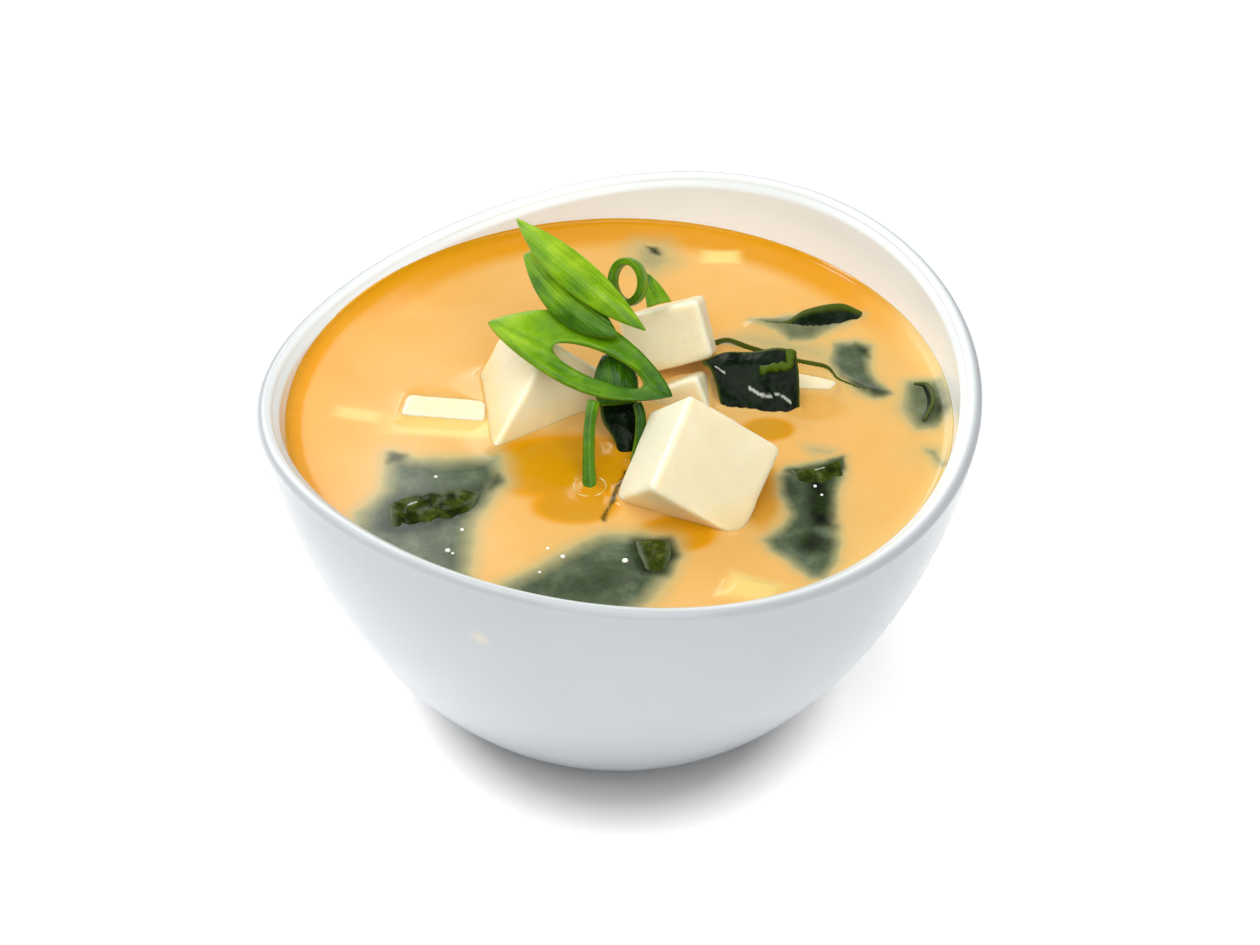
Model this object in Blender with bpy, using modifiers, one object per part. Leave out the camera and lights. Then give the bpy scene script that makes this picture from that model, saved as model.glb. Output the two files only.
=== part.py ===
"""Miso soup in its bowl.

A glazed porcelain bowl with a wavy rim holds cloudy soup.  Cubes of tofu, leaves of wakame
seaweed and slantwise slices of spring onion float in it and stand out of it.
Sizes and places are in millimetres, with +Z up and the origin under the middle of the bowl.
"""
import math
import random

import bmesh
import bpy
from mathutils import Euler, Matrix, Vector

MM = 0.001
GAP = 0.3                   # free space kept between pieces that touch
CLEARANCE = 0.42            # how far a cutter grows along its normals to leave that gap

# Bowl
FOOT_R = 30.0
RIM_R = 59.8
BOWL_H = 62.0               # height at which the wall stands upright
SWELL = 1.7                 # how early the wall turns upward
FLARE = 0.75                # how quickly it leaves the foot
RIM_Z = 57.9                # mean height of the rim
RIM_WAVE = 4.15             # two crests and two hollows round the rim
RIM_CREST = math.radians(51.5)
RIM_LEAN = 1.05             # one side of the rim is a little higher
RIM_LEAN_TO = math.radians(-29.0)
LIP_WALL = 2.7
BASE_WALL = 5.8
WALL_THINNING = 0.6
FLOOR_Z = 6.0
FLOOR_TURN_Z = 13.0         # the inner wall curves in to the floor below this height
FOOT_WIDTH = 3.5
FOOT_ROUND = 0.6
FOOT_RECESS = 1.5
BOWL_STEPS = 52
WALL_STEPS = 8
LIP_STEPS = 4
FLOOR_STEPS = 3

# Soup
SOUP_Z = 51.0

# Contents
TOFU_ROUND = 0.9
TOFU_UNEVEN = 0.35
WAKAME_THICK = 0.8
RING_STEPS = 32
BLADE_STEPS = 12

COLOURS = {
    "porcelain": ((0.80, 0.81, 0.83, 1.0), 0.15),
    "broth": ((0.83, 0.46, 0.13, 1.0), 0.10),
    "tofu": ((0.88, 0.80, 0.62, 1.0), 0.35),
    "wakame": ((0.010, 0.024, 0.010, 1.0), 0.20),
    "spring_onion": ((0.13, 0.38, 0.01, 1.0), 0.30),
}


def start_empty():
    for thing in list(bpy.data.objects):
        bpy.data.objects.remove(thing, do_unlink=True)


def new_collection(name):
    group = bpy.data.collections.new(name)
    bpy.context.scene.collection.children.link(group)
    return group


def new_material(piece_name, kind):
    """Each piece has a material of its own, with its kind's colour and roughness."""
    colour, roughness = COLOURS[kind]
    material = bpy.data.materials.new(f"{piece_name}_{kind}")
    material.use_nodes = True
    shader = material.node_tree.nodes["Principled BSDF"]
    shader.inputs["Base Color"].default_value = colour
    shader.inputs["Roughness"].default_value = roughness
    shader.inputs["Metallic"].default_value = 0.0
    return material


def add_piece(name, mesh, kind, group):
    piece = bpy.data.objects.new(name, mesh)
    mesh.materials.append(new_material(name, kind))
    group.objects.link(piece)
    return piece


def bm_to_mesh(bm, name):
    bmesh.ops.recalc_face_normals(bm, faces=bm.faces)
    mesh = bpy.data.meshes.new(name)
    bm.to_mesh(mesh)
    bm.free()
    return mesh


def shade_round(mesh, angle=40.0):
    mesh.shade_smooth()
    mesh.set_sharp_from_angle(angle=math.radians(angle))


def add_cutter(piece, group):
    """A copy of a piece, grown along its normals, that cuts its room out of the soup."""
    cutter = piece.copy()
    cutter.name = piece.name + "_room"
    cutter.hide_render = True
    cutter.display_type = "WIRE"
    grow = cutter.modifiers.new("grow", "DISPLACE")
    grow.mid_level = 0.0
    grow.strength = CLEARANCE * MM
    group.objects.link(cutter)
    return cutter


def cut_with(piece, cutter):
    cut = piece.modifiers.new("cut " + cutter.name, "BOOLEAN")
    cut.operation = "DIFFERENCE"
    cut.solver = "EXACT"
    cut.object = cutter


# ---------------------------------------------------------------- bowl and soup

def outer_radius(z):
    rise = min(max(z / BOWL_H, 0.0), 1.0)
    return FOOT_R + (RIM_R - FOOT_R) * (1.0 - (1.0 - rise) ** SWELL) ** FLARE


def wall_at(z):
    rise = min(max(z / BOWL_H, 0.0), 1.0)
    return LIP_WALL + (BASE_WALL - LIP_WALL) * (1.0 - rise) ** WALL_THINNING


def inner_radius(z):
    return outer_radius(z) - wall_at(z)


def rim_height(angle):
    wave = RIM_WAVE * math.cos(2.0 * (angle - RIM_CREST))
    lean = RIM_LEAN * math.cos(angle - RIM_LEAN_TO)
    return RIM_Z + wave + lean


def floor_profile(clear):
    """Points up the inside from the axis to where the wall begins, clear mm off the bowl."""
    turn_r = inner_radius(FLOOR_TURN_Z) - clear
    low = FLOOR_Z + clear
    points = []
    for step in range(FLOOR_STEPS + 1):
        quarter = 0.5 * math.pi * step / FLOOR_STEPS
        height = FLOOR_TURN_Z - (FLOOR_TURN_Z - low) * math.cos(quarter)
        points.append((turn_r * math.sin(quarter), height))
    return points


def wall_heights(low, high):
    return [low + (high - low) * step / WALL_STEPS for step in range(1, WALL_STEPS + 1)]


def bowl_profile():
    """From the axis under the foot, in, up the inside, over the lip and down the outside."""
    lip_r = LIP_WALL / 2.0
    inside = floor_profile(0.0)
    inside += [(inner_radius(z), z) for z in wall_heights(FLOOR_TURN_Z, RIM_Z - lip_r)]
    middle = outer_radius(RIM_Z) - lip_r
    lip = []
    for step in range(1, LIP_STEPS):
        turn = math.pi * step / LIP_STEPS
        lip.append((middle - lip_r * math.cos(turn), RIM_Z - lip_r + lip_r * math.sin(turn)))
    outside = [(outer_radius(z), z) for z in wall_heights(FOOT_ROUND, RIM_Z - lip_r)]
    outside = outside[::-1] + [(outer_radius(FOOT_ROUND) - 0.2, FOOT_ROUND)]
    foot_out = FOOT_R - FOOT_ROUND
    foot_in = foot_out - FOOT_WIDTH
    under = [(foot_out, 0.0), (foot_in, 0.0), (foot_in - FOOT_RECESS, FOOT_RECESS),
             (0.0, FOOT_RECESS)]
    return inside + lip + outside + under


def turned(name, profile):
    """A solid turned round Z from a closed profile whose ends lie on the axis."""
    mesh = bpy.data.meshes.new(name)
    bm = bmesh.new()
    verts = [bm.verts.new((radius * MM, 0.0, z * MM)) for radius, z in profile]
    for first, second in zip(verts, verts[1:]):
        bm.edges.new((first, second))
    bm.to_mesh(mesh)
    bm.free()
    blank = bpy.data.objects.new(name + "_blank", mesh)
    bpy.context.scene.collection.objects.link(blank)
    screw = blank.modifiers.new("turn", "SCREW")
    screw.steps = BOWL_STEPS
    screw.render_steps = BOWL_STEPS
    screw.use_merge_vertices = True
    screw.merge_threshold = 1e-5
    depsgraph = bpy.context.evaluated_depsgraph_get()
    solid = bpy.data.meshes.new_from_object(blank.evaluated_get(depsgraph))
    solid.name = name
    bpy.data.objects.remove(blank, do_unlink=True)
    bm = bmesh.new()
    bm.from_mesh(solid)
    bmesh.ops.recalc_face_normals(bm, faces=bm.faces)
    bm.to_mesh(solid)
    bm.free()
    return solid


def wave_rim(mesh):
    """Lifts and lowers the rim, and keeps the wall on its turned surfaces as it does."""
    for vertex in mesh.vertices:
        x, y, z = (value / MM for value in vertex.co)
        if z <= FLOOR_TURN_Z:
            continue
        angle = math.atan2(y, x)
        inset = (outer_radius(z) - math.hypot(x, y)) / wall_at(z)
        share = (z - FLOOR_TURN_Z) / (RIM_Z - FLOOR_TURN_Z)
        new_z = z + (rim_height(angle) - RIM_Z) * share
        new_r = outer_radius(new_z) - inset * wall_at(new_z)
        vertex.co = Vector((new_r * math.cos(angle), new_r * math.sin(angle), new_z)) * MM


def make_bowl(group):
    mesh = turned("bowl", bowl_profile())
    wave_rim(mesh)
    shade_round(mesh)
    return add_piece("bowl", mesh, "porcelain", group)


def make_soup(group):
    side = [(inner_radius(z) - GAP, z) for z in wall_heights(FLOOR_TURN_Z, SOUP_Z)]
    profile = floor_profile(GAP) + side + [(0.0, SOUP_Z)]
    mesh = turned("soup", profile)
    return add_piece("soup", mesh, "broth", group)


# ---------------------------------------------------------------- tofu

# name: (centre, size, tilt about X, Y and Z in degrees)
TOFU = {
    "tofu_front": ((12.4, -19.8, 54.0), (17.9, 17.3, 14.8), (34.9, 33.4, -4.0)),
    "tofu_left": ((-14.0, 4.2, 48.6), (16.8, 20.6, 16.0), (42.3, -25.9, -57.2)),
    "tofu_back": ((8.2, 15.6, 55.4), (14.2, 10.4, 9.0), (57.0, -17.6, 1.4)),
    "tofu_middle": ((9.6, 4.4, 47.7), (13.0, 11.0, 8.6), (60.0, -23.0, 1.0)),
    "tofu_slab": ((-28.4, 0.9, 49.6), (14.6, 5.4, 5.0), (3.0, 2.0, -7.0)),
    "tofu_right": ((31.2, 6.6, 47.2), (9.4, 7.6, 8.6), (12.0, 0.0, -15.0)),
    "tofu_rim": ((20.9, -45.0, 50.1), (7.2, 4.4, 2.6), (1.0, -1.0, -22.0)),
}


def make_tofu(name, group):
    """A block cut by hand: its corners are a little off square and its edges are soft."""
    centre, size, tilt = TOFU[name]
    rng = random.Random(name)
    bm = bmesh.new()
    bmesh.ops.create_cube(bm, size=1.0)
    bmesh.ops.scale(bm, vec=Vector(size) * MM, verts=bm.verts)
    for vertex in bm.verts:
        nudge = [rng.uniform(-TOFU_UNEVEN, TOFU_UNEVEN) for _ in range(3)]
        vertex.co += Vector(nudge) * MM
    mesh = bm_to_mesh(bm, name)
    piece = add_piece(name, mesh, "tofu", group)
    piece.location = Vector(centre) * MM
    piece.rotation_euler = Euler([math.radians(angle) for angle in tilt], "XYZ")
    soften = piece.modifiers.new("soft edges", "BEVEL")
    soften.width = TOFU_ROUND * MM
    soften.segments = 2
    shade_round(mesh, 60.0)
    return piece


# ---------------------------------------------------------------- wakame

# Each leaf is a net of ribs, from its standing edge down into the soup.
WAKAME = {
    "wakame_fold": [
        [(13.6, 9.0, 55.0), (17.5, 10.0, 56.2), (22.0, 9.6, 56.6), (26.0, 8.4, 58.4),
         (29.2, 7.2, 58.6)],
        [(15.4, 6.2, 54.8), (18.4, 6.2, 55.6), (22.6, 5.8, 55.8), (26.6, 4.8, 56.6),
         (29.6, 4.4, 56.2)],
        [(17.0, 1.4, 50.8), (19.8, 0.6, 50.8), (23.8, 0.0, 50.6), (27.0, 0.0, 50.8),
         (29.8, 0.8, 50.8)],
        [(17.4, 1.4, 48.8), (20.2, 0.8, 48.8), (24.0, 0.4, 48.6), (27.0, 0.4, 48.8),
         (29.8, 1.2, 48.8)],
    ],
    "wakame_strip": [
        [(15.8, 18.4, 52.4), (18.4, 18.6, 52.9), (22.8, 16.2, 52.5), (29.2, 13.0, 52.5),
         (34.6, 11.2, 52.4), (36.6, 7.9, 52.0), (42.0, 4.8, 51.5)],
        [(16.4, 20.4, 49.2), (18.8, 20.6, 49.2), (23.4, 18.2, 49.2), (29.6, 14.8, 49.2),
         (35.4, 13.2, 49.2), (38.4, 9.8, 49.2), (43.0, 7.0, 49.2)],
    ],
    "wakame_back": [
        [(22.6, 25.6, 51.4), (27.9, 24.6, 51.8), (31.6, 27.0, 52.4), (37.4, 28.0, 53.0),
         (41.3, 26.9, 52.0)],
        [(22.6, 24.8, 50.0), (28.3, 23.4, 50.2), (31.6, 23.4, 51.2), (37.0, 24.0, 51.2),
         (40.6, 25.0, 50.6)],
        [(23.0, 24.2, 48.6), (28.6, 22.4, 48.6), (31.4, 20.6, 48.6), (36.0, 21.6, 48.6),
         (39.6, 23.4, 48.6)],
    ],
    "wakame_edge": [
        [(49.2, 8.3, 51.3), (51.5, 7.4, 51.7), (52.1, 2.7, 52.0), (50.4, -2.1, 51.7)],
        [(47.5, 7.7, 48.9), (49.0, 6.5, 48.9), (49.6, 2.5, 48.9), (48.5, -1.3, 48.9)],
    ],
    "wakame_side": [
        [(27.6, -14.3, 51.2), (30.6, -14.3, 51.5), (33.6, -13.2, 51.6), (36.3, -11.6, 51.7)],
        [(28.4, -16.6, 50.3), (31.2, -16.9, 50.4), (34.0, -16.0, 50.4), (36.4, -14.6, 50.4)],
        [(29.4, -20.4, 48.6), (32.2, -21.4, 48.6), (34.8, -21.0, 48.6), (36.2, -20.0, 48.6)],
    ],    "wakame_left": [
        [(-36.4, -22.6, 50.2), (-32.4, -20.6, 50.3), (-27.0, -19.8, 50.3), (-22.6, -19.2, 50.2)],
        [(-36.8, -24.6, 51.1), (-32.6, -22.6, 51.3), (-26.8, -21.8, 51.4), (-22.2, -20.9, 51.2)],
        [(-36.6, -27.0, 51.0), (-32.2, -25.4, 51.2), (-26.8, -24.4, 51.2), (-22.8, -22.6, 51.0)],
        [(-36.0, -30.0, 49.6), (-31.6, -29.0, 49.6), (-26.6, -27.4, 49.6), (-23.4, -24.6, 49.8)],
    ],    "wakame_front": [
        [(2.6, -32.2, 50.2), (5.2, -31.7, 50.2), (8.2, -32.4, 50.2)],
        [(2.8, -33.8, 51.2), (5.4, -33.3, 51.4), (8.2, -33.8, 51.2)],
        [(3.4, -36.4, 51.1), (5.8, -36.2, 51.3), (8.2, -36.4, 51.1)],
        [(4.4, -39.8, 50.1), (6.0, -40.0, 50.1), (7.4, -39.0, 50.1)],
    ],    "wakame_under_onion": [
        [(-3.2, -2.2, 55.9), (0.4, -1.9, 56.4), (3.6, -2.8, 55.4)],
        [(-2.8, -5.6, 54.2), (0.6, -5.8, 54.8), (3.8, -6.2, 53.9)],
        [(-0.8, -8.8, 52.6), (1.2, -9.2, 52.8), (3.0, -9.0, 52.4)],
        [(0.2, -11.4, 50.0), (0.9, -11.6, 50.0), (1.6, -11.2, 50.0)],
    ],}


def make_wakame(name, group):
    """A thin leaf: a net of ribs, smoothed and given its thickness."""
    net = WAKAME[name]
    bm = bmesh.new()
    rows = [[bm.verts.new(Vector(point) * MM) for point in rib] for rib in net]
    for upper, lower in zip(rows, rows[1:]):
        for place in range(len(upper) - 1):
            bm.faces.new((upper[place], upper[place + 1], lower[place + 1], lower[place]))
    mesh = bm_to_mesh(bm, name)
    piece = add_piece(name, mesh, "wakame", group)
    smooth = piece.modifiers.new("smooth", "SUBSURF")
    smooth.levels = 1
    smooth.render_levels = 1
    thick = piece.modifiers.new("thickness", "SOLIDIFY")
    thick.thickness = WAKAME_THICK * MM
    thick.offset = 0.0
    shade_round(mesh, 60.0)
    return piece


# ---------------------------------------------------------------- spring onion

# Rings: tip to tip, the way the ring faces, width, wall, how long each tip is solid, cut
# length, how far the cut slants, how far the middle stands above the tips, how sharp the
# tips are, how the outline bows and sways off the line between them, and the hole's offset.
ONION_RINGS = {
    "onion_ring": dict(start=(-21.4, 6.5, 65.2), end=(8.4, -8.4, 61.2), facing=(0.1, -0.42, 0.9),
                       width=13.0, wall=3.9, solid=(12.0, 4.8), cut=1.3, slant=1.0, arch=0.8,
                       point=0.75, bow=0.8, sway=0.5, hole_up=-0.2),
    "onion_loop": dict(start=(0.7, 12.5, 64.1), end=(2.1, 14.7, 72.1), facing=(-0.55, -0.76, 0.3),
                       width=7.0, wall=1.2, solid=(1.3, 1.3), cut=2.4, slant=0.2, arch=0.0,
                       point=0.0, bow=0.0, sway=0.0, hole_up=0.0),
}

# Blades: a spine of three points, the half width at each, thickness, height of the ridge,
# how far the ridge lies off the middle, and the way the blade faces.
ONION_BLADES = {
    "onion_long": dict(spine=[(-16.9, 20.4, 76.0), (-7.0, 8.6, 73.2), (4.3, 0.2, 68.1)],
                       half=(0.1, 3.1, 0.1), thick=0.9, ridge=1.4, ridge_at=-0.1,
                       facing=(0.05, -0.5, 0.86)),
    "onion_behind": dict(spine=[(-15.1, 16.6, 71.8), (-7.8, 6.4, 69.0), (-0.2, 0.4, 66.8)],
                         half=(0.9, 3.4, 0.2), thick=0.9, ridge=0.9, ridge_at=-0.2,
                         facing=(-0.2, -0.6, 0.78)),
    "onion_scrap": dict(spine=[(4.4, 18.9, 66.0), (5.4, 16.3, 65.2), (6.6, 13.1, 63.8)],
                        half=(0.15, 1.3, 2.1), thick=0.8, ridge=0.3, ridge_at=0.0,
                        facing=(0.1, -0.6, 0.8)),
    "onion_tongue": dict(spine=[(-0.9, 2.0, 61.7), (-0.6, -1.7, 59.7), (-0.2, -4.5, 56.6)],
                         half=(1.8, 3.5, 3.0), thick=0.9, ridge=1.3, ridge_at=0.0,
                         facing=(0.0, -0.78, 0.63)),
    "onion_stem": dict(spine=[(-4.1, -8.6, 60.4), (-4.9, -14.2, 56.0), (-4.5, -21.0, 48.6)],
                       half=(0.95, 0.9, 1.2), thick=1.2, ridge=0.6, ridge_at=0.0,
                       facing=(0.1, -0.6, 0.8)),
    "onion_stem_right": dict(spine=[(2.9, -7.8, 59.4), (3.4, -10.6, 55.4), (1.5, -13.8, 49.0)],
                             half=(0.7, 0.85, 0.45), thick=0.9, ridge=0.4, ridge_at=0.0,
                             facing=(0.3, -0.8, 0.5)),
}


def frame_for(start, end, facing):
    """A matrix whose X runs from start to end and whose Z leans the way the piece faces."""
    along = (end - start).normalized()
    up = (facing - along * facing.dot(along)).normalized()
    side = up.cross(along)
    turn = Matrix((along, side, up)).transposed().to_4x4()
    return Matrix.Translation((start + end) / 2.0) @ turn


def bridge_rings(bm, rings, closed):
    """Joins rows of points with quads into a tube, and closes or caps its ends."""
    count = len(rings[0])
    last = len(rings) if closed else len(rings) - 1
    for row in range(last):
        near, far = rings[row], rings[(row + 1) % len(rings)]
        for place in range(count):
            after = (place + 1) % count
            bm.faces.new((near[place], near[after], far[after], far[place]))
    if not closed:
        bm.faces.new(rings[0])
        bm.faces.new(rings[-1])


def make_onion_ring(name, group):
    """A slantwise slice of a hollow leaf: a long ring, drawn out to a point at each end."""
    spec = ONION_RINGS[name]
    start, end, facing = Vector(spec["start"]), Vector(spec["end"]), Vector(spec["facing"])
    half_length = (end - start).length / 2.0
    half_width = spec["width"] / 2.0
    hole_from = spec["solid"][0] - half_length
    hole_to = half_length - spec["solid"][1]
    hole_middle, hole_half = (hole_from + hole_to) / 2.0, (hole_to - hole_from) / 2.0
    bm = bmesh.new()
    rings = []
    for step in range(RING_STEPS):
        turn = 2.0 * math.pi * step / RING_STEPS
        across = math.sin(turn) * abs(math.sin(turn)) ** spec["point"]
        outer = Vector((half_length * math.cos(turn), half_width * across))
        outer.y += spec["bow"] * math.sin(turn) ** 2
        outer.y -= spec["sway"] * math.sin(math.pi * math.cos(turn))
        inner = Vector((hole_middle + hole_half * math.cos(turn),
                        (half_width - spec["wall"]) * math.sin(turn) + spec["hole_up"]))
        row = []
        for edge, level in ((outer, 0.5), (outer, -0.5), (inner, -0.5), (inner, 0.5)):
            rise = spec["arch"] * (1.0 - (edge.x / half_length) ** 2)
            depth = level * spec["cut"]
            x = edge.x + spec["slant"] * depth
            row.append(bm.verts.new(Vector((x, edge.y, rise + depth)) * MM))
        rings.append(row)
    bridge_rings(bm, rings, closed=True)
    mesh = bm_to_mesh(bm, name)
    piece = add_piece(name, mesh, "spring_onion", group)
    piece.matrix_world = frame_for(start * MM, end * MM, facing)
    shade_round(mesh)
    return piece


def through_three(first, middle, last, share):
    """A smooth value that is first at 0, middle halfway and last at 1."""
    control = middle * 2.0 - (first + last) / 2.0
    rest = 1.0 - share
    return first * rest ** 2 + control * 2.0 * rest * share + last * share ** 2


def make_onion_blade(name, group):
    """A folded sliver of leaf along a spine, with a ridge down its length."""
    spec = ONION_BLADES[name]
    spine = [Vector(point) for point in spec["spine"]]
    facing = Vector(spec["facing"]).normalized()
    widest = max(spec["half"])
    bm = bmesh.new()
    rings = []
    for step in range(BLADE_STEPS + 1):
        share = step / BLADE_STEPS
        centre = through_three(*spine, share)
        ahead = through_three(*spine, share + 0.01) - centre
        side = facing.cross(ahead).normalized()
        up = ahead.cross(side).normalized()
        half = through_three(*spec["half"], share)
        fullness = half / widest
        depth = spec["thick"] * (0.4 + 0.6 * fullness) / 2.0
        row = []
        for place, level in ((-1, 1), (0, 1), (1, 1), (1, -1), (0, -1), (-1, -1)):
            sideways = half * (place if place else spec["ridge_at"])
            lift = depth * level + (0.0 if place else spec["ridge"] * fullness)
            row.append(bm.verts.new((centre + side * sideways + up * lift) * MM))
        rings.append(row)
    bridge_rings(bm, rings, closed=False)
    mesh = bm_to_mesh(bm, name)
    shade_round(mesh)
    return add_piece(name, mesh, "spring_onion", group)


# ---------------------------------------------------------------- assembly

# What dips into the soup, which is cut round it.
SUNK = ("tofu_front", "tofu_left", "tofu_back", "tofu_middle", "tofu_slab", "tofu_right",
        "tofu_rim", *WAKAME, "onion_stem", "onion_stem_right")


def main():
    start_empty()
    group = new_collection("miso_soup")
    cutters = new_collection("cutters")
    pieces = {"bowl": make_bowl(group), "soup": make_soup(group)}
    for name in TOFU:
        pieces[name] = make_tofu(name, group)
    for name in WAKAME:
        pieces[name] = make_wakame(name, group)
    for name in ONION_RINGS:
        pieces[name] = make_onion_ring(name, group)
    for name in ONION_BLADES:
        pieces[name] = make_onion_blade(name, group)
    rooms = {name: add_cutter(pieces[name], cutters) for name in SUNK}
    for name in SUNK:
        cut_with(pieces["soup"], rooms[name])
    cut_with(pieces["tofu_slab"], rooms["tofu_left"])


main()
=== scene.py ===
import math

import bmesh
import bpy
import numpy as np
from mathutils import Matrix, Vector, noise
from mathutils.bvhtree import BVHTree


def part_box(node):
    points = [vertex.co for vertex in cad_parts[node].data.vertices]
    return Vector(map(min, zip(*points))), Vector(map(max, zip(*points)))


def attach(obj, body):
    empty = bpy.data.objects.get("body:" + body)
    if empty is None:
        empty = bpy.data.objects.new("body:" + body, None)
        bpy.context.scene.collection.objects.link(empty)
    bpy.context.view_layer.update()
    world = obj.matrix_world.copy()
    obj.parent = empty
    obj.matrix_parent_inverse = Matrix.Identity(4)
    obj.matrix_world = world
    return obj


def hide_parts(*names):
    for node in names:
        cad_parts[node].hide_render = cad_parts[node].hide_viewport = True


# Looks of the miso soup: a glazed bowl, cloudy broth and what floats in it.
# Sizes are in millimetres unless a name says otherwise; MM turns them into metres.

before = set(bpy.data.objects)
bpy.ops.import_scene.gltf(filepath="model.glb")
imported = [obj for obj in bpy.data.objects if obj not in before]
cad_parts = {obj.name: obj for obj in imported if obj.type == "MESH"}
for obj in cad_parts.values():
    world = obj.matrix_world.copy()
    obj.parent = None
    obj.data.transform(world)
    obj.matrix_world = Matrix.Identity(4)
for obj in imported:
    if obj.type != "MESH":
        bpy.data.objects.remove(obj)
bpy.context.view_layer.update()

MM = 0.001
ROOT = "root"

# Bowl, as in the CAD model
FOOT_R = 30.0
RIM_R = 59.8
BOWL_H = 62.0
SWELL = 1.7
FLARE = 0.75
RIM_Z = 57.9
RIM_WAVE = 4.15
RIM_CREST = math.radians(51.5)
RIM_LEAN = 1.05
RIM_LEAN_TO = math.radians(-29.0)
LIP_WALL = 2.7
BASE_WALL = 5.8
WALL_THINNING = 0.6
FLOOR_Z = 6.0
FLOOR_TURN_Z = 13.0
FOOT_WIDTH = 3.5
FOOT_ROUND = 0.6
FOOT_RECESS = 1.5
BOWL_TURN_STEPS = 288
BOWL_WALL_STEPS = 60
BOWL_LIP_STEPS = 14
BOWL_FLOOR_STEPS = 12
INSIDE_TURN = (-1.2, 0.6)  # where the lip turns to inside colour, from the wall's middle
LOW_WALL = (51.5, 58.0)  # heights between which the painted light that brightens the inner wall's foot fades out
STAIN_AT = (-21.3, -54.2, 49.6)  # a dried splash of broth on the outside
STAIN_SIZE = (0.4, 2.2)  # its full patch and its faint edge

# Soup
SOUP_Z = 51.0
SOUP_RINGS = 150
SOUP_TURN_STEPS = 420
WALL_REACH = 0.25  # how far the broth reaches into the wall
MENISCUS_RISE = 0.75
MENISCUS_FALL = 0.8
MENISCUS_SEARCH = 4.0  # how far from a place a piece still lifts the broth there
RING_CROWDING = 0.8  # under 1 sets the surface's rings closer together towards the wall
BELOW_CLEAR = 0.3  # gap between broth and bowl under the surface

# Camera: how far it looks down, how far away it stands and the point it aims at
VIEW_DOWN = math.radians(38.9)
VIEW_DISTANCE = 650.0
VIEW_AIM = (1.77, -0.64, 39.2)
LENS = 111.43


# ---- node helpers

def new_material(name):
    material = bpy.data.materials.new(name)
    material.use_nodes = True
    tree = material.node_tree
    shader = tree.nodes["Principled BSDF"]
    return material, tree, shader


def connect(value, socket):
    """Links a socket to another one, or sets its value."""
    if isinstance(value, bpy.types.NodeSocket):
        socket.id_data.links.new(value, socket)
    else:
        socket.default_value = value


def add_node(tree, kind, **values):
    """A node whose inputs and properties are set by name; inputs take _ for a space."""
    node = tree.nodes.new("ShaderNode" + kind)
    for key, value in values.items():
        label = key.replace("_", " ")
        if label in node.inputs:
            connect(value, node.inputs[label])
        else:
            setattr(node, key, value)
    return node


def set_inputs(node, **values):
    for key, value in values.items():
        connect(value, node.inputs[key.replace("_", " ")])


def noise_texture(vector, scale, detail=3.0, roughness=0.5, distortion=0.0):
    return add_node(vector.id_data, "TexNoise", Vector=vector, Scale=scale, Detail=detail,
                    Roughness=roughness, Distortion=distortion).outputs["Fac"]


def object_vector(tree, scale=(1.0, 1.0, 1.0)):
    place = add_node(tree, "TexCoord").outputs["Object"]
    return add_node(tree, "Mapping", Vector=place, Scale=scale).outputs["Vector"]


def height_at(vector):
    return add_node(vector.id_data, "SeparateXYZ", Vector=vector).outputs["Z"]


def ramp(factor, stops):
    """A colour ramp; stops are (place, colour) pairs."""
    node = add_node(factor.id_data, "ValToRGB", Fac=factor)
    elements = node.color_ramp.elements
    while len(elements) > 1:
        elements.remove(elements[-1])
    elements[0].position, elements[0].color = stops[0][0], (*stops[0][1], 1.0)
    for place, colour in stops[1:]:
        elements.new(place).color = (*colour, 1.0)
    return node.outputs["Color"]


def value_ramp(factor, low, high, start=0.0, end=1.0):
    """From start at low to end at high, level outside them."""
    return add_node(factor.id_data, "MapRange", Value=factor, From_Min=low, From_Max=high,
                    To_Min=start, To_Max=end).outputs["Result"]


def mix_colour(factor, first, second):
    node = add_node(first.id_data, "Mix", data_type="RGBA")
    for place, value in ((0, factor), (6, first), (7, second)):
        connect((*value, 1.0) if isinstance(value, tuple) else value, node.inputs[place])
    return node.outputs[2]


def maths(operation, first, second):
    node = add_node(first.id_data, "Math", operation=operation)
    connect(first, node.inputs[0])
    connect(second, node.inputs[1])
    return node.outputs[0]


def attribute(tree, name):
    return add_node(tree, "Attribute", attribute_name=name).outputs["Fac"]


def bump(shader, height, strength, distance):
    node = add_node(shader.id_data, "Bump", Height=height, Strength=strength, Distance=distance)
    set_inputs(shader, Normal=node.outputs["Normal"])


# ---- mesh helpers

def mesh_piece(name, points, faces, material, replaced=(), attributes=None):
    """A mesh object from points in millimetres; attributes are {name: value per point}."""
    mesh = bpy.data.meshes.new(name)
    mesh.from_pydata((np.asarray(points, float) * MM).tolist(), [], faces)
    for label, values in (attributes or {}).items():
        layer = mesh.attributes.new(label, "FLOAT", "POINT")
        layer.data.foreach_set("value", np.asarray(values, np.float32))
    bm = bmesh.new()
    bm.from_mesh(mesh)
    bmesh.ops.recalc_face_normals(bm, faces=bm.faces)
    bm.to_mesh(mesh)
    bm.free()
    finish_piece(name, mesh, material, replaced)


def show(name, data):
    """A new object in the scene that holds this data."""
    thing = bpy.data.objects.new(name, data)
    bpy.context.scene.collection.objects.link(thing)
    return thing


def mesh_from(bm, name):
    mesh = bpy.data.meshes.new(name)
    bm.to_mesh(mesh)
    bm.free()
    return mesh


def finish_piece(name, mesh, material, replaced=()):
    mesh.shade_smooth()
    mesh.materials.clear()
    mesh.materials.append(material)
    piece = show(name, mesh)
    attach(piece, ROOT)
    if replaced:
        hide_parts(*replaced)


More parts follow.
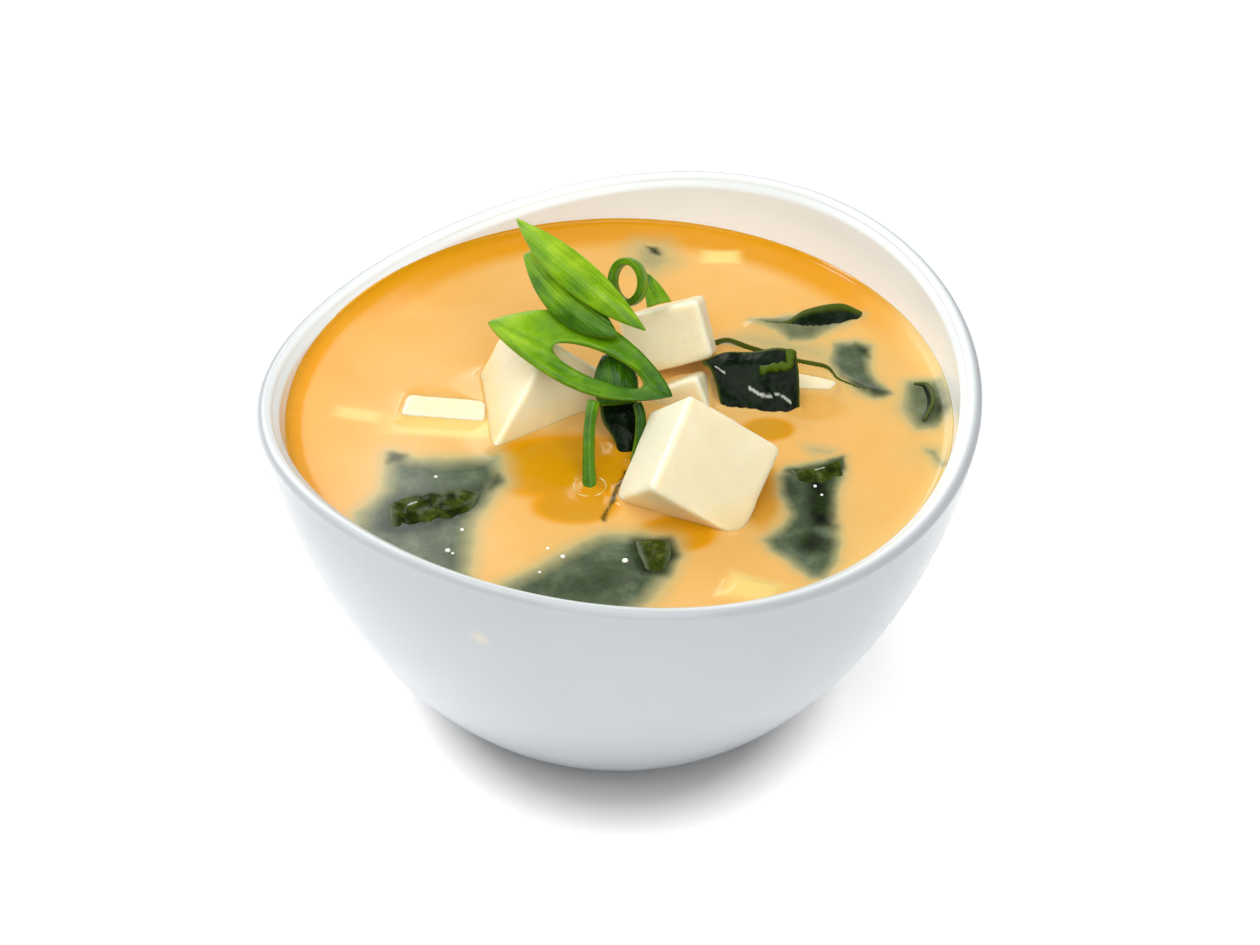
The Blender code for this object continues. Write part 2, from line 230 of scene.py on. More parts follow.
def ring_faces(rows, columns, closed_rows=False):
    """Quads between rows of points, each row a closed ring of columns points."""
    faces = []
    last = rows if closed_rows else rows - 1
    for row in range(last):
        after = (row + 1) % rows
        for column in range(columns):
            beside = (column + 1) % columns
            faces.append((row * columns + column, row * columns + beside,
                          after * columns + beside, after * columns + column))
    return faces


def close_turned(points, columns, top_z, under_z):
    """Faces over rows of turned points, with a point on the axis closing either end."""
    rows = len(points) // columns
    faces = ring_faces(rows, columns)
    top, under, last = len(points), len(points) + 1, (rows - 1) * columns
    for step in range(columns):
        beside = (step + 1) % columns
        faces.append((top, beside, step))
        faces.append((under, last + step, last + beside))
    return points + [(0.0, 0.0, top_z), (0.0, 0.0, under_z)], faces


def rumble(point, scale, seed):
    """Smooth noise in -1 to 1 at a point in millimetres; scale is its size in millimetres."""
    return noise.noise(Vector(point) / scale + Vector((seed, seed * 1.7, -seed)))


def ripple(point, waves):
    """Smooth noises added up; waves are (height, size, seed)."""
    return sum(height * rumble(point, size, seed) for height, size, seed in waves)


def smooth_step(value, low, high):
    share = np.clip((value - low) / (high - low), 0.0, 1.0)
    return share * share * (3.0 - 2.0 * share)


# ---- bowl

def outer_radius(z):
    rise = min(max(z / BOWL_H, 0.0), 1.0)
    return FOOT_R + (RIM_R - FOOT_R) * (1.0 - (1.0 - rise) ** SWELL) ** FLARE


def wall_at(z):
    rise = min(max(z / BOWL_H, 0.0), 1.0)
    return LIP_WALL + (BASE_WALL - LIP_WALL) * (1.0 - rise) ** WALL_THINNING


def inner_radius(z):
    return outer_radius(z) - wall_at(z)


def rim_height(angle):
    wave = RIM_WAVE * math.cos(2.0 * (angle - RIM_CREST))
    lean = RIM_LEAN * math.cos(angle - RIM_LEAN_TO)
    return RIM_Z + wave + lean


def steps(low, high, count):
    return [low + (high - low) * step / count for step in range(count + 1)]


def floor_profile(clear):
    turn_r = inner_radius(FLOOR_TURN_Z) - clear
    low = FLOOR_Z + clear
    quarter = [0.5 * math.pi * share for share in steps(0.0, 1.0, BOWL_FLOOR_STEPS)]
    return [(turn_r * math.sin(turn), FLOOR_TURN_Z - (FLOOR_TURN_Z - low) * math.cos(turn))
            for turn in quarter]


def bowl_profile():
    """From the axis, up the inside, over the lip, down the outside and under the foot."""
    lip_r = LIP_WALL / 2.0
    top = RIM_Z - lip_r
    inside = [(inner_radius(z), z) for z in steps(FLOOR_TURN_Z, top, BOWL_WALL_STEPS)[1:]]
    middle = outer_radius(RIM_Z) - lip_r
    lip = [(middle - lip_r * math.cos(turn), top + lip_r * math.sin(turn))
           for turn in steps(0.0, math.pi, BOWL_LIP_STEPS)[1:-1]]
    outside = [(outer_radius(z), z) for z in steps(top, FOOT_ROUND, BOWL_WALL_STEPS)]
    foot_out = FOOT_R - FOOT_ROUND
    foot_in = foot_out - FOOT_WIDTH
    edge = [(outer_radius(FOOT_ROUND) - 0.2, FOOT_ROUND * 0.5), (foot_out, 0.0), (foot_in, 0.0),
            (foot_in - FOOT_RECESS, FOOT_RECESS), (1.0, FOOT_RECESS)]
    return floor_profile(0.0) + inside + lip + outside + edge


def wave(point):
    """Lifts a point of the turned bowl with the rim's wave and keeps it on the wall."""
    x, y, z = point
    if z <= FLOOR_TURN_Z:
        return point
    angle = math.atan2(y, x)
    inset = (outer_radius(z) - math.hypot(x, y)) / wall_at(z)
    share = (z - FLOOR_TURN_Z) / (RIM_Z - FLOOR_TURN_Z)
    new_z = z + (rim_height(angle) - RIM_Z) * share
    new_r = outer_radius(new_z) - inset * wall_at(new_z)
    return (new_r * math.cos(angle), new_r * math.sin(angle), new_z)


def turned_points(profile, turn_steps):
    return [(radius * math.cos(turn), radius * math.sin(turn), z) for radius, z in profile
            for turn in (math.tau * step / turn_steps for step in range(turn_steps))]


def porcelain_material():
    """Glaze: nearly white inside, with painted shade that makes the outside a darker blue-grey and
    painted light on the inner wall near the broth.
    """
    material, tree, shader = new_material("porcelain glaze")
    vector = object_vector(tree)
    cloud = noise_texture(vector, 35.0, 2.0)
    # painted shade: the outside is a darker blue-grey than the white glaze
    outside = ramp(cloud, [(0.3, (0.435, 0.458, 0.482)), (0.7, (0.458, 0.480, 0.505))])
    inside = ramp(cloud, [(0.3, (0.810, 0.855, 0.862)), (0.7, (0.830, 0.875, 0.882))])
    # painted light: the inner wall turns lighter towards the broth
    low = value_ramp(height_at(vector), LOW_WALL[0] * MM, LOW_WALL[1] * MM, 0.9, 0.0)
    inside = mix_colour(low, inside, (0.95, 0.975, 0.970))
    colour = mix_colour(attribute(tree, "inside"), outside, inside)
    stain = add_node(tree, "VectorMath", operation="DISTANCE", Vector=vector)
    stain.inputs[1].default_value = Vector(STAIN_AT) * MM
    spot = value_ramp(stain.outputs["Value"], STAIN_SIZE[0] * MM, STAIN_SIZE[1] * MM, 0.30, 0.0)
    colour = mix_colour(spot, colour, (0.80, 0.68, 0.36))
    rough = value_ramp(noise_texture(vector, 120.0, 4.0), 0.3, 0.7, 0.14, 0.24)
    set_inputs(shader, Base_Color=colour, Roughness=rough)
    bump(shader, noise_texture(vector, 260.0, 2.0), 0.10, 0.0003)
    return material


def make_bowl():
    points = [wave(point) for point in turned_points(bowl_profile()[1:], BOWL_TURN_STEPS)]
    points, faces = close_turned(points, BOWL_TURN_STEPS, FLOOR_Z, FOOT_RECESS)
    inside = []
    for x, y, z in points:
        middle = outer_radius(z) - 0.5 * wall_at(z)
        inside.append(float(smooth_step(middle - math.hypot(x, y), *INSIDE_TURN)))
    mesh_piece("porcelain_bowl", points, faces, porcelain_material(), ("bowl",),
               {"inside": inside})


# ---- broth

# Leaves that lie under the surface, as (softness of the edge, darkness, outline)
SUNK_LEAVES = {
    "left": (3.4, 1, [(-37, -10.6), (-33.5, -12.4), (-26.7, -12.6), (-20, -11.6), (-18.9, -18),
        (-21.2, -21.5), (-23.4, -27), (-24, -32), (-24, -41), (-31, -43), (-42, -33), (-41, -26),
        (-37.4, -20)]),
    "front": (3.2, 1, [(-22, -48), (-17.4, -43.4), (-12.2, -39.6), (-7.4, -35.2), (-2.6, -31.8),
        (3, -31.2), (8.4, -32.6), (8.8, -36), (7.4, -41), (4.6, -46), (0, -52), (-12, -52)]),
    "right": (1.9, 1, [(26, -16.6), (27.6, -14), (36.4, -11.4), (36, -15.7), (34.8, -21.3),
        (34, -26.9), (34.6, -32.9), (34.1, -37.4), (31.9, -41.4), (29.9, -41.4), (27.4, -37.8),
        (24.3, -34.7), (23.5, -32.4), (26.5, -28.7), (27.8, -26), (26.2, -21.3)]),
    "upper": (1.5, 0.95, [(36.2, 19.2), (39.8, 20), (42.2, 18.6), (41.8, 12.8), (42.6, 8.8),
        (45.2, 5.6), (42.2, 4.4), (39.2, 6.8), (36.4, 10.6), (35.6, 14.4)]),
    "edge": (2.2, 0.9, [(48, 8.6), (53.4, 9.2), (55, 2.2), (52, -3.4), (49, -3.6), (47, 1.4)]),
    "back": (1.6, 0.85, [(28.6, 19.8), (33, 21), (38, 24.6), (41.4, 27.4), (33, 27.6),
        (22.4, 25.4), (27, 23)]),
    "veil": (3.4, 0.5, [(1.8, 46.6), (3.4, 48.8), (8, 48.4), (9.6, 42.8), (5.6, 38.6), (2.4, 42)]),
    "crumb": (1.4, 0.8, [(50.2, -9.4), (51.4, -9.8), (53.4, -14), (52.2, -14.4)]),
    "dots": (1.8, 0.5, [(30.6, -8.4), (35, -9.4), (34.6, -11), (31.2, -10.2)]),
    "strip": (2.8, 0.42, [(18, 20.6), (24, 18), (34, 14.6), (36.4, 17.6), (30, 20.4), (22, 22.4)]),
}
# Where a sunk leaf all but touches the surface and shows its own olive colour.
LEAF_STROKES = {
    "left": (1.5, 0.9, [(-38.2, -29.8), (-37, -23), (-32.8, -20.8), (-26.9, -20), (-22.4, -19.2),
        (-22.8, -23.6), (-26.2, -27.4), (-30.2, -29.6), (-34.9, -31)]),
    "left_corner": (0.8, 0.8, [(-37.6, -12.8), (-37.2, -10), (-34.7, -10.7), (-35.2, -12)]),
    "left_tip": (0.8, 0.8, [(-21.1, -19.4), (-19.6, -15.9), (-19, -17.2), (-20.4, -19.7)]),
    "front": (1.1, 0.95, [(2.2, -32), (8.2, -31.8), (9, -36.1), (7.4, -40.6), (3.4, -40.8),
        (2.2, -36.1)]),
    "front_low": (2.8, 0.45, [(-12.2, -43.4), (-3, -38), (4.2, -38), (3, -42.6), (-6.1, -45.3)]),
    "right_top": (0.8, 0.95, [(27.4, -14.6), (30.6, -14.2), (33.7, -12.9), (36.4, -11.1),
        (36.5, -14.2), (33.4, -15.8), (30.2, -15.7)]),
    "right_middle": (1.3, 1, [(30.2, -16.5), (34.2, -16.8), (34, -22), (33.9, -29), (30.4, -29),
        (30.2, -21)]),
    "right_low": (1.6, 0.9, [(28.3, -31.6), (30.6, -29.7), (32.9, -32.2), (32.8, -35.2),
        (30, -35.6), (28.1, -33.7)]),
    "right_side": (1.2, 0.55, [(27.2, -17.1), (28.9, -18.4), (28.3, -21), (26.8, -20)]),
    "upper_tip": (0.7, 0.8, [(39.8, 19.2), (41.6, 17.8), (41.9, 15.4), (40.6, 16.9)]),
    "upper_low": (0.9, 0.7, [(37, 9.6), (40, 6.6), (43.6, 5), (44.8, 5.8), (41.4, 7.4)]),
    "edge": (0.9, 0.8, [(52.6, 3.6), (54, 1.6), (52.6, -1.6), (51.6, 0.4)]),
    "back_tip": (0.5, 1, [(4.5, 47.6), (6.4, 47.2), (6.9, 45), (5.4, 45.9)]),
    "thread": (0.3, 0.95, [(-3.1, -26.9), (-2, -24.2), (-0.9, -21), (0.9, -15), (1.3, -15.2),
        (-0.3, -21.2), (-1.3, -24.6), (-2.4, -27.6)]),
}
# Murk: thin haze round the leaves, as (centre, radius, strength)
MURK = [((38, 12), 13, 0.42), ((26, 18.5), 8, 0.38), ((48, 3), 9, 0.42),
        ((31, -27), 14, 0.34), ((-31, -24), 16, 0.26), ((-4, -38), 15, 0.26),
        ((22, 3), 12, 0.2), ((50, -10), 8, 0.36)]
# Painted dark reflection and shade: deep amber pools where the surface mirrors the food and lies
# in its shade, as (centre, half sizes, strength)
SHADE_AND_REFLECTION_POOLS = [((-8, -14), (15, 9), 0.95), ((-7, -23.6), (7.4, 5), 0.9),
             ((9, -31), (7, 4.6), 0.8), ((24.4, -4), (4.6, 3.2), 0.85),
             ((32, 1.6), (6, 3.6), 0.22), ((22.5, -20), (3.6, 10), 0.6)]
BACK_REFLECTION_BAND = (4.0, 9.5, 0.58)  # painted dark reflection of the back wall, a deep amber band: full to, ends at, strength
MILK = (-53.0, -30.0, 0.25)  # cloudy from the first x to the second, and their slant in y
RIM_TINT = (0.5, 4.5, 0.55)  # pale edge at the right: full to, ends at, strength
LEAF_TEAR = 0.45  # how ragged the outlines are, by these waves
TORN = ((1.0, 3.4, 3.0), (0.4, 1.2, 5.0))
# Tints that the mesh's values of these names lay over the broth
BROTH_TINTS = {"rim": (0.78, 0.56, 0.20), "murk": (0.50, 0.42, 0.16), "pale": (0.84, 0.70, 0.24)}
# Pale tofu glimpsed under the surface, as (centre, half size, turn in degrees, strength)
GLIMPSES = [((-43, 0), (3.6, 1.3), -15, 0.5), ((17.6, 44.4), (3, 1.7), 0, 0.75),
            ((-28.6, -3.8), (8.5, 1.9), -6, 0.55), ((21, -44.6), (4.2, 2.8), -22, 0.6)]


def inside_distance(x, y, outline):
    """Signed distance to a polygon, positive inside, for arrays of places."""
    nearest = np.full(x.shape, 1e9)
    inside = np.zeros(x.shape, bool)
    for (ax, ay), (bx, by) in zip(outline, outline[1:] + outline[:1]):
        along_x, along_y = bx - ax, by - ay
        share = ((x - ax) * along_x + (y - ay) * along_y) / (along_x ** 2 + along_y ** 2)
        share = np.clip(share, 0.0, 1.0)
        gap = np.hypot(x - ax - share * along_x, y - ay - share * along_y)
        nearest = np.minimum(nearest, gap)
        crosses = (ay > y) != (by > y)
        level = np.where(by == ay, 1e-9, by - ay)
        inside ^= crosses & (x < (bx - ax) * (y - ay) / level + ax)
    return np.where(inside, nearest, -nearest)


def outline_cover(x, y, leaves):
    """How much the outlines cover each place, 0 to 1, with uneven soft edges."""
    torn = np.array([ripple((a, b, 0.0), TORN) for a, b in zip(x, y)])
    cover = np.zeros(x.shape)
    for soft, dark, outline in leaves.values():
        depth = inside_distance(x, y, outline) + LEAF_TEAR * torn
        cover = np.maximum(cover, dark * smooth_step(depth, -1.3 * soft, soft))
    return cover


def shade_and_reflection_cover(x, y):
    """Painted dark reflection and shade as deep amber: pools beside the food and a band along the
    back wall.
    """
    clear = np.zeros(x.shape)
    for (cx, cy), (half_x, half_y), strength in SHADE_AND_REFLECTION_POOLS:
        gap = np.hypot((x - cx) / half_x, (y - cy) / half_y)
        clear = np.maximum(clear, strength * (1.0 - smooth_step(gap, 0.65, 1.15)))
    wall_gap = inner_radius(SOUP_Z) - np.hypot(x, y)
    behind = smooth_step(y / np.maximum(np.hypot(x, y), 1.0), 0.2, 0.75)
    full, end, strength = BACK_REFLECTION_BAND
    return np.maximum(clear, strength * (behind * (1.0 - smooth_step(wall_gap, full, end))))


def murk_cover(x, y):
    murk = np.zeros(x.shape)
    for (cx, cy), radius, strength in MURK:
        gap = np.hypot(x - cx, y - cy) / radius
        murk = np.maximum(murk, strength * np.exp(-2.0 * gap ** 2))
    return murk


def glimpse_cover(x, y):
    pale = np.zeros(x.shape)
    for (cx, cy), (half_x, half_y), turn, strength in GLIMPSES:
        cos, sin = math.cos(math.radians(turn)), math.sin(math.radians(turn))
        across = np.abs((x - cx) * cos + (y - cy) * sin) / half_x
        deep = np.abs((y - cy) * cos - (x - cx) * sin) / half_y
        pale = np.maximum(pale, strength * (1.0 - smooth_step(np.maximum(across, deep), 0.6, 1.5)))
    return pale


def broth_material():
    """Broth from milky to a painted deep amber of dark reflection and shade, with the sunk leaves
    painted on it by the mesh's values.
    """
    material, tree, shader = new_material("cloudy broth")
    vector = object_vector(tree)
    cloud = noise_texture(vector, 60.0, 4.0, 0.55, 0.6)
    grain = noise_texture(vector, 900.0, 3.0, 0.6)
    milky = ramp(cloud, [(0.30, (0.748, 0.415, 0.108)), (0.70, (0.772, 0.460, 0.150))])
    warm = ramp(cloud, [(0.30, (0.785, 0.315, 0.008)), (0.70, (0.805, 0.370, 0.030))])
    # clear holds painted dark reflection and shade: deep amber where the surface mirrors dark food
    # and wall
    clear = attribute(tree, "clear")
    amber = ramp(clear, [(0.58, (0.680, 0.290, 0.001)), (0.95, (0.570, 0.262, 0.0008))])
    broth = mix_colour(attribute(tree, "milk"), warm, milky)
    broth = mix_colour(value_ramp(clear, 0.0, 0.55), broth, amber)
    for name, tint in BROTH_TINTS.items():
        broth = mix_colour(attribute(tree, name), broth, tint)
    cover = attribute(tree, "leaf")
    halo = value_ramp(cover, 0.0, 0.55)
    broth = mix_colour(halo, broth, (0.44, 0.40, 0.19))
    body = ramp(noise_texture(vector, 260.0, 4.0, 0.65),
                [(0.30, (0.048, 0.070, 0.034)), (0.52, (0.088, 0.116, 0.064)),
                 (0.75, (0.155, 0.188, 0.118))])
    broth = mix_colour(value_ramp(cover, 0.35, 0.95), broth, body)
    olive = ramp(noise_texture(vector, 340.0, 4.0, 0.65),
                 [(0.38, (0.001, 0.003, 0.0005)), (0.60, (0.012, 0.024, 0.001)),
                  (0.76, (0.040, 0.060, 0.003))])
    shade = mix_colour(attribute(tree, "stroke"), broth, olive)
    set_inputs(shader, Base_Color=shade, Roughness=0.11, IOR=1.34, Subsurface_Weight=0.30,
               Subsurface_Radius=(1.0, 0.55, 0.20), Subsurface_Scale=2.0 * MM)
    bump(shader, grain, 0.04, 0.0002)
    return material


def soup_surface_points(shore):
    """Rings of points over the surface, lifted in menisci where broth meets wall or food."""
    reach = inner_radius(SOUP_Z) + WALL_REACH
    points = []
    for ring in range(1, SOUP_RINGS + 1):
        radius = reach * (ring / SOUP_RINGS) ** RING_CROWDING
        for step in range(SOUP_TURN_STEPS):
            turn = math.tau * step / SOUP_TURN_STEPS
            x, y = radius * math.cos(turn), radius * math.sin(turn)
            gap = reach - WALL_REACH - radius
            found = shore.find_nearest(Vector((x, y, SOUP_Z + 0.2)) * MM, MENISCUS_SEARCH * MM)
            if found[0] is not None:
                gap = min(gap, found[3] / MM)
            rise = MENISCUS_RISE * math.exp(-max(gap, 0.0) / MENISCUS_FALL)
            swell = 0.05 * rumble((x, y, 0.0), 14.0, 1.0)
            points.append((x, y, SOUP_Z + rise + swell))
    return points


def make_soup(shore):
    """The broth down to the bowl's floor; the mesh says where leaf, murk and the painted amber of
    reflection and shade show.
    """
    points = soup_surface_points(shore)
    below = [(inner_radius(z) - BELOW_CLEAR, z) for z in steps(SOUP_Z - 1.0, FLOOR_TURN_Z, 20)]
    below += floor_profile(BELOW_CLEAR)[1:-1][::-1]
    points += turned_points(below, SOUP_TURN_STEPS)
    points, faces = close_turned(points, SOUP_TURN_STEPS, SOUP_Z, FLOOR_Z + BELOW_CLEAR)
    places = np.array(points)
    x, y, z = places[:, 0], places[:, 1], places[:, 2]
    above = z > SOUP_Z - 0.5
    wall_gap = np.maximum(inner_radius(SOUP_Z) - np.hypot(x, y), 0.0)
    right = smooth_step(x * 0.75 - y * 0.66, 4.0, 34.0)
    # clear is painted dark reflection and shade, not clearer broth
    layers = {"leaf": np.where(above, outline_cover(x, y, SUNK_LEAVES), 0.0),
              "stroke": np.where(above, outline_cover(x, y, LEAF_STROKES), 0.0),
              "murk": murk_cover(x, y), "pale": glimpse_cover(x, y),
              "clear": shade_and_reflection_cover(x, y), "milk": smooth_step(x - MILK[2] * y, *MILK[:2]),
              "rim": RIM_TINT[2] * right * (1.0 - smooth_step(wall_gap, *RIM_TINT[:2]))}
    mesh_piece("miso_broth", points, faces, broth_material(), ("soup",), layers)


# ---- tofu

TOFU_NODES = ("tofu_front", "tofu_left", "tofu_back", "tofu_middle", "tofu_slab", "tofu_right",
              "tofu_rim")
AWASH = ("tofu_slab", "tofu_right", "tofu_rim")  # only their tops clear the surface
TOFU_VOXEL = 0.30
TOFU_WAVES = ((0.13, 5.0, 2.0), (0.05, 1.3, 7.0))
SOAK_AND_BOUNCE_RISE = (0.6, 4.5)  # heights over the soup between which the warm tint fades out: broth soaked in and painted orange bounce light from the broth


def tofu_material(name, soak_and_bounce):
    """Curd with a fine grain and a warm tint near the waterline, as strong as the second argument
    says: broth soaked in and painted orange bounce light from the broth.
    """
    material, tree, shader = new_material(name)
    vector = object_vector(tree)
    cloud = noise_texture(vector, 140.0, 3.0, 0.5)
    colour = ramp(cloud, [(0.3, (0.850, 0.755, 0.500)), (0.7, (0.885, 0.810, 0.585))])
    low, high = ((SOUP_Z + rise) * MM for rise in SOAK_AND_BOUNCE_RISE)
    # broth soaked in and painted orange bounce light, fading out up the block
    soak_and_bounce_tint = value_ramp(height_at(vector), low, high, soak_and_bounce, 0.0)
    colour = mix_colour(soak_and_bounce_tint, colour, (0.88, 0.60, 0.20))
    # painted highlight: lighter cream along the rounded edges
    colour = mix_colour(attribute(tree, "corner"), colour, (0.98, 0.94, 0.74))
    rough = value_ramp(noise_texture(vector, 500.0, 3.0, 0.6), 0.3, 0.7, 0.28, 0.45)
    set_inputs(shader, Base_Color=colour, Roughness=rough, Subsurface_Weight=0.8,
               Subsurface_Radius=(1.0, 0.75, 0.45), Subsurface_Scale=1.6 * MM)
    bump(shader, noise_texture(vector, 1300.0, 4.0, 0.6), 0.25, 0.00025)
    return material


def make_tofu(node, material):
    """The CAD block with softer edges, slightly sagging faces and a fine curd surface."""
    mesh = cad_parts[node].data.copy()
    mesh.name = node + "_curd"
    work = show("work", mesh)
    remesh = work.modifiers.new("even", "REMESH")
    remesh.mode = "VOXEL"
    remesh.voxel_size = TOFU_VOXEL * MM
    soften = work.modifiers.new("soften", "SMOOTH")
    soften.factor = 0.5
    soften.iterations = 3
    depsgraph = bpy.context.evaluated_depsgraph_get()
    fine = bpy.data.meshes.new_from_object(work.evaluated_get(depsgraph))
    bpy.data.objects.remove(work, do_unlink=True)
    count = len(fine.vertices)
    places, normals = np.zeros(count * 3), np.zeros(count * 3)
    fine.vertices.foreach_get("co", places)
    fine.vertex_normals.foreach_get("vector", normals)
    places, normals = places.reshape(-1, 3), normals.reshape(-1, 3)
    broad = sorted(mesh.polygons, key=lambda face: -face.area)[:8]
    flat = np.abs(normals @ np.array([face.normal for face in broad]).T).max(axis=1)
    # corner marks the edges for a painted highlight
    corner = 0.8 * np.clip((0.97 - flat) / 0.22, 0.0, 1.0)
    lift = [ripple(place / MM, TOFU_WAVES) for place in places]
    places += normals * np.array(lift)[:, None] * MM
    fine.vertices.foreach_set("co", places.ravel())
    fine.attributes.new("corner", "FLOAT", "POINT").data.foreach_set("value", corner)
    finish_piece(node + "_curd", fine, material, (node,))


# ---- leaves as shells

def shell_piece(name, middle, thickness, layers, material, replaced):
    """A closed shell round a grid of points: rows by columns, with a thickness at each."""
    rows, columns = middle.shape[:2]
    along = np.gradient(middle, axis=0)
    across = np.gradient(middle, axis=1)
    normal = np.cross(along, across)
    normal /= np.maximum(np.linalg.norm(normal, axis=2, keepdims=True), 1e-9)
    offset = normal * thickness[..., None] / 2.0
    upper, lower = (middle + offset).reshape(-1, 3), (middle - offset).reshape(-1, 3)
    count = rows * columns
    faces = []
    for row in range(rows - 1):
        for column in range(columns - 1):
            a = row * columns + column
            quad = (a, a + 1, a + columns + 1, a + columns)
            faces.append(quad)
            faces.append(tuple(count + corner for corner in reversed(quad)))
    border = list(range(columns))
    border += [row * columns + columns - 1 for row in range(1, rows)]
    border += [(rows - 1) * columns + column for column in range(columns - 2, -1, -1)]
    border += [row * columns for row in range(rows - 2, 0, -1)]
    for a, b in zip(border, border[1:] + border[:1]):
        faces.append((b, a, count + a, count + b))
    points = np.vstack([upper, lower])
    doubled = {label: np.concatenate([values.ravel(), values.ravel()])
               for label, values in layers.items()}
    mesh_piece(name, points, faces, material, replaced, doubled)


def catmull(points, share):
    """A smooth curve through points (any shape of values), share from 0 to 1."""
    count = len(points) - 1
    place = min(share * count, count - 1e-9)
    first = int(place)
    t = place - first
    before = points[first - 1] if first else points[0] * 2.0 - points[1]
    after = points[first + 2] if first + 2 <= count else points[count] * 2.0 - points[count - 1]
    start, end = points[first], points[first + 1]
    return 0.5 * (2.0 * start + (end - before) * t
                  + (2.0 * before - 5.0 * start + 4.0 * end - after) * t * t
                  + (3.0 * (start - end) + after - before) * t ** 3)


def net_surface(net, rows, columns):
    """A fine grid of points through a coarse net of ribs."""
    ribs = np.array([[catmull(np.array(rib, float), column / (columns - 1))
                      for column in range(columns)] for rib in net])
    return np.array([catmull(ribs, row / (rows - 1)) for row in range(rows)])


# ---- wakame

WAKAME = {
    "wakame_fold": [
        [(13.6, 9, 55), (17.5, 10, 56.2), (22, 9.6, 56.6), (26, 8.4, 58.4), (29.2, 7.2, 58.6)],
        [(15.4, 6.2, 54.8), (18.4, 6.2, 55.6), (22.6, 5.8, 55.8), (26.6, 4.8, 56.6),
         (29.6, 4.4, 56.2)],
        [(17, 1.4, 50.8), (19.8, 0.6, 50.8), (23.8, 0, 50.6), (27, 0, 50.8), (29.8, 0.8, 50.8)],
        [(17.4, 1.4, 48.8), (20.2, 0.8, 48.8), (24, 0.4, 48.6), (27, 0.4, 48.8),
         (29.8, 1.2, 48.8)],
    ],
    "wakame_strip": [
        [(15.8, 18.6, 52.2), (18.4, 18.9, 52.5), (22.8, 16.8, 52.2), (29.2, 13.8, 52.2),
         (34.6, 12, 52.1), (36.6, 8.6, 51.9), (42, 5.4, 51.5)],
        [(16.2, 18, 49.2), (18.6, 18.3, 49.2), (23, 16.2, 49.2), (29.4, 13.2, 49.2),
         (35, 11.6, 49.2), (37.4, 8.2, 49.2), (42.2, 5, 49.2)],
    ],
    "wakame_back": [
        [(22.6, 25.6, 51.4), (27.9, 24.6, 51.8), (31.6, 27, 52.4), (37.4, 28, 53),
         (41.3, 26.9, 52)],
        [(22.6, 24.8, 50), (28.3, 23.4, 50.2), (31.6, 23.4, 51.2), (37, 24, 51.2),
         (40.6, 25, 50.6)],
        [(23, 24.2, 48.6), (28.6, 22.4, 48.6), (31.4, 20.6, 48.6), (36, 21.6, 48.6),
         (39.6, 23.4, 48.6)],
    ],
    "wakame_edge": [
        [(49.2, 8.3, 51.3), (51.5, 7.4, 51.7), (52.1, 2.7, 52), (50.4, -2.1, 51.7)],
        [(47.5, 7.7, 48.9), (49, 6.5, 48.9), (49.6, 2.5, 48.9), (48.5, -1.3, 48.9)],
    ],
    "wakame_side": [
        [(27.6, -14.3, 51.2), (30.6, -14.3, 51.5), (33.6, -13.2, 51.6), (36.3, -11.6, 51.7)],
        [(28.4, -16.6, 50.3), (31.2, -16.9, 50.4), (34, -16, 50.4), (36.4, -14.6, 50.4)],
        [(29.4, -20.4, 48.6), (32.2, -21.4, 48.6), (34.8, -21, 48.6), (36.2, -20, 48.6)],
    ],
    "wakame_left": [
        [(-36.4, -22.6, 50.2), (-32.4, -20.6, 50.3), (-27, -19.8, 50.3), (-22.6, -19.2, 50.2)],
        [(-36.8, -24.6, 51.1), (-32.6, -22.6, 51.3), (-26.8, -21.8, 51.4), (-22.2, -20.9, 51.2)],
        [(-36.6, -27, 51), (-32.2, -25.4, 51.2), (-26.8, -24.4, 51.2), (-22.8, -22.6, 51)],
        [(-36, -30, 49.6), (-31.6, -29, 49.6), (-26.6, -27.4, 49.6), (-23.4, -24.6, 49.8)],
    ],
    "wakame_front": [
        [(2.6, -32.2, 50.2), (5.2, -31.7, 50.2), (8.2, -32.4, 50.2)],
        [(2.8, -33.8, 51.2), (5.4, -33.3, 51.4), (8.2, -33.8, 51.2)],
        [(3.4, -36.4, 51.1), (5.8, -36.2, 51.3), (8.2, -36.4, 51.1)],
        [(4.4, -39.8, 50.1), (6, -40, 50.1), (7.4, -39, 50.1)],
    ],
    "wakame_under_onion": [
        [(-3.2, -2.2, 55.9), (0.4, -1.9, 56.4), (3.6, -2.8, 55.4)],
        [(-2.8, -5.6, 54.2), (0.6, -5.8, 54.8), (3.8, -6.2, 53.9)],
        [(-0.8, -8.8, 52.6), (1.2, -9.2, 52.8), (3, -9, 52.4)],
        [(0.2, -11.4, 50), (0.9, -11.6, 50), (1.6, -11.2, 50)],
    ],
}
FLUSH_LEAVES = ("wakame_left", "wakame_front", "wakame_side")  # just under the surface
# How far in from a leaf's edge its colour is full and gone; (0.15, 0.75) for the others
EDGE_REACH = {"wakame_strip": (0.7, 2.0), "wakame_left": (0.0, 1.8), "wakame_front": (0.0, 1.5),
              "wakame_side": (0.1, 0.9)}
WAKAME_THICK = 0.55
WAKAME_GRAIN = 0.15  # spacing of the fine grid
CREASES = ((0.22, 3.2, 11.0), (0.09, 1.1, 4.0))
CREASE_WAY = np.array((0.25, -0.6, 0.75))
CURL_WAY = np.array((0.0, -0.45, 0.55))
FLUSH_SQUASH = 0.30  # what is left of a flush leaf's height over the soup
FLUSH_DEPTH = -1.1  # below this it isn't squashed
FLUSH_LIFT = 0.02
FLUSH_PATCHES = ((0.30, 2.0, 21.0),)


